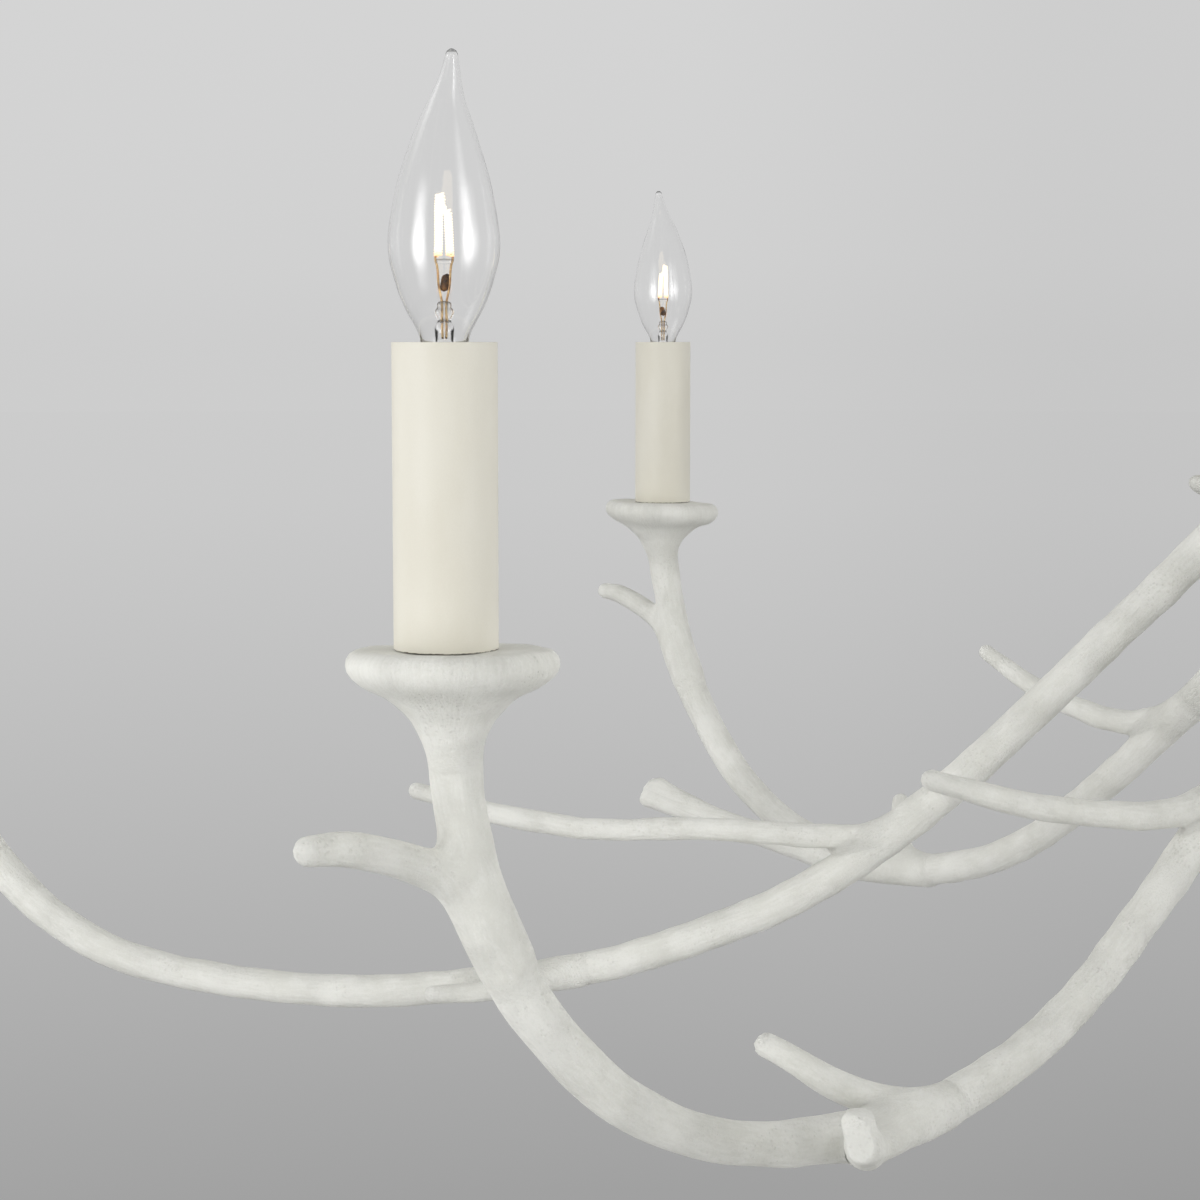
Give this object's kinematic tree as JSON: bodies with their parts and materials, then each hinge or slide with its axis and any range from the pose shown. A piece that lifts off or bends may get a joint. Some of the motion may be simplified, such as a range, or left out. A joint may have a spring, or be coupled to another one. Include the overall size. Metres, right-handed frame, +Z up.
{
  "type": "branch chandelier",
  "caption": "Ceiling chandelier of white branch-shaped arms with side twigs, ivory candle sleeves in cups and clear flame bulbs, hung on a jointed stem from a round canopy.",
  "frame": {"origin": "on the ceiling, at the middle of the mounting crossbar", "axes": "+Z up, away from the room; +X along the crossbar; short_arm_1 points along +X and the arms are numbered going round towards +Y"},
  "size_m": [1.0784, 1.0784, 1.0439],
  "materials": {
    "plaster_white": "matt brushed plaster over cast metal",
    "zinc_steel": "zinc plated",
    "green_screw": "green enamel on brass",
    "black_phenolic": "moulded phenolic",
    "ivory_sleeve": "satin ivory, faintly speckled",
    "base_brass": "rolled brass shell",
    "clear_glass": "clear blown glass",
    "filament_mount": "lit filament on support wires"
  },
  "bodies": {
    "ceiling_plate": {"crossbar": "zinc_steel", "ground_screw": "green_screw", "crossbar_nut": "zinc_steel", "canopy_nipple": "zinc_steel", "canopy": "plaster_white", "canopy_collar": "plaster_white", "swivel_upper_fork": "plaster_white"},
    "swivel_cross": {"swivel_cross": "zinc_steel"},
    "hanging_frame": {"swivel_lower_fork": "plaster_white", "upper_stem": "plaster_white", "stem_coupler": "plaster_white", "lower_stem": "plaster_white", "hub_cap": "plaster_white", "hub_trunk": "plaster_white", "hub_rod": "zinc_steel", "hub_cover": "plaster_white", "finial": "plaster_white", "arm_screws": "zinc_steel", "lampholders": "black_phenolic", "candle_nipples": "zinc_steel", "short_arm_1": "plaster_white", "short_arm_2": "plaster_white", "short_arm_3": "plaster_white", "short_arm_4": "plaster_white", "long_arm_1": "plaster_white", "long_arm_2": "plaster_white", "long_arm_3": "plaster_white", "long_arm_4": "plaster_white", "candle_sleeve_1": "ivory_sleeve", "candle_sleeve_2": "ivory_sleeve", "candle_sleeve_3": "ivory_sleeve", "candle_sleeve_4": "ivory_sleeve", "candle_sleeve_5": "ivory_sleeve", "candle_sleeve_6": "ivory_sleeve", "candle_sleeve_7": "ivory_sleeve", "candle_sleeve_8": "ivory_sleeve"},
    "bulb_1_base": {"bulb_base_1": "base_brass"},
    "bulb_1": {"bulb_glass_1": "clear_glass", "bulb_filament_1": "filament_mount"},
    "bulb_2_base": {"bulb_base_2": "base_brass"},
    "bulb_2": {"bulb_glass_2": "clear_glass", "bulb_filament_2": "filament_mount"},
    "bulb_3_base": {"bulb_base_3": "base_brass"},
    "bulb_3": {"bulb_glass_3": "clear_glass", "bulb_filament_3": "filament_mount"},
    "bulb_4_base": {"bulb_base_4": "base_brass"},
    "bulb_4": {"bulb_glass_4": "clear_glass", "bulb_filament_4": "filament_mount"},
    "bulb_5_base": {"bulb_base_5": "base_brass"},
    "bulb_5": {"bulb_glass_5": "clear_glass", "bulb_filament_5": "filament_mount"},
    "bulb_6_base": {"bulb_base_6": "base_brass"},
    "bulb_6": {"bulb_glass_6": "clear_glass", "bulb_filament_6": "filament_mount"},
    "bulb_7_base": {"bulb_base_7": "base_brass"},
    "bulb_7": {"bulb_glass_7": "clear_glass", "bulb_filament_7": "filament_mount"},
    "bulb_8_base": {"bulb_base_8": "base_brass"},
    "bulb_8": {"bulb_glass_8": "clear_glass", "bulb_filament_8": "filament_mount"}
  },
  "joints": [
    {"name": "swivel_tilt_x", "type": "hinge", "parent": "ceiling_plate", "child": "swivel_cross", "pos_m": [0, 0, -0.053], "axis": [1, 0, 0], "range_deg": [-30, 30]},
    {"name": "swivel_tilt_y", "type": "hinge", "parent": "swivel_cross", "child": "hanging_frame", "pos_m": [0, 0, -0.053], "axis": [0, 1, 0], "range_deg": [-30, 30]},
    {"name": "bulb_1_lift", "type": "slide", "parent": "hanging_frame", "child": "bulb_1_base", "axis": [0, 0, 1], "range_m": [0, 0.01016]},
    {"name": "bulb_1_turn", "type": "hinge", "parent": "bulb_1_base", "child": "bulb_1", "pos_m": [0.489, 0, -0.764], "axis": [0, 0, 1], "range_deg": [0, 1440]},
    {"name": "bulb_2_lift", "type": "slide", "parent": "hanging_frame", "child": "bulb_2_base", "axis": [0, 0, 1], "range_m": [0, 0.01016]},
    {"name": "bulb_2_turn", "type": "hinge", "parent": "bulb_2_base", "child": "bulb_2", "pos_m": [0.45255, 0.45255, -0.764], "axis": [0, 0, 1], "range_deg": [0, 1440]},
    {"name": "bulb_3_lift", "type": "slide", "parent": "hanging_frame", "child": "bulb_3_base", "axis": [0, 0, 1], "range_m": [0, 0.01016]},
    {"name": "bulb_3_turn", "type": "hinge", "parent": "bulb_3_base", "child": "bulb_3", "pos_m": [0, 0.489, -0.764], "axis": [0, 0, 1], "range_deg": [0, 1440]},
    {"name": "bulb_4_lift", "type": "slide", "parent": "hanging_frame", "child": "bulb_4_base", "axis": [0, 0, 1], "range_m": [0, 0.01016]},
    {"name": "bulb_4_turn", "type": "hinge", "parent": "bulb_4_base", "child": "bulb_4", "pos_m": [-0.45255, 0.45255, -0.764], "axis": [0, 0, 1], "range_deg": [0, 1440]},
    {"name": "bulb_5_lift", "type": "slide", "parent": "hanging_frame", "child": "bulb_5_base", "axis": [0, 0, 1], "range_m": [0, 0.01016]},
    {"name": "bulb_5_turn", "type": "hinge", "parent": "bulb_5_base", "child": "bulb_5", "pos_m": [-0.489, 0, -0.764], "axis": [0, 0, 1], "range_deg": [0, 1440]},
    {"name": "bulb_6_lift", "type": "slide", "parent": "hanging_frame", "child": "bulb_6_base", "axis": [0, 0, 1], "range_m": [0, 0.01016]},
    {"name": "bulb_6_turn", "type": "hinge", "parent": "bulb_6_base", "child": "bulb_6", "pos_m": [-0.45255, -0.45255, -0.764], "axis": [0, 0, 1], "range_deg": [0, 1440]},
    {"name": "bulb_7_lift", "type": "slide", "parent": "hanging_frame", "child": "bulb_7_base", "axis": [0, 0, 1], "range_m": [0, 0.01016]},
    {"name": "bulb_7_turn", "type": "hinge", "parent": "bulb_7_base", "child": "bulb_7", "pos_m": [0, -0.489, -0.764], "axis": [0, 0, 1], "range_deg": [0, 1440]},
    {"name": "bulb_8_lift", "type": "slide", "parent": "hanging_frame", "child": "bulb_8_base", "axis": [0, 0, 1], "range_m": [0, 0.01016]},
    {"name": "bulb_8_turn", "type": "hinge", "parent": "bulb_8_base", "child": "bulb_8", "pos_m": [0.45255, -0.45255, -0.764], "axis": [0, 0, 1], "range_deg": [0, 1440]}
  ],
  "couplings": [
    {"joint": "bulb_1_lift", "follows": "bulb_1_turn", "m_per_rad": 0.00040425},
    {"joint": "bulb_2_lift", "follows": "bulb_2_turn", "m_per_rad": 0.00040425},
    {"joint": "bulb_3_lift", "follows": "bulb_3_turn", "m_per_rad": 0.00040425},
    {"joint": "bulb_4_lift", "follows": "bulb_4_turn", "m_per_rad": 0.00040425},
    {"joint": "bulb_5_lift", "follows": "bulb_5_turn", "m_per_rad": 0.00040425},
    {"joint": "bulb_6_lift", "follows": "bulb_6_turn", "m_per_rad": 0.00040425},
    {"joint": "bulb_7_lift", "follows": "bulb_7_turn", "m_per_rad": 0.00040425},
    {"joint": "bulb_8_lift", "follows": "bulb_8_turn", "m_per_rad": 0.00040425}
  ]
}
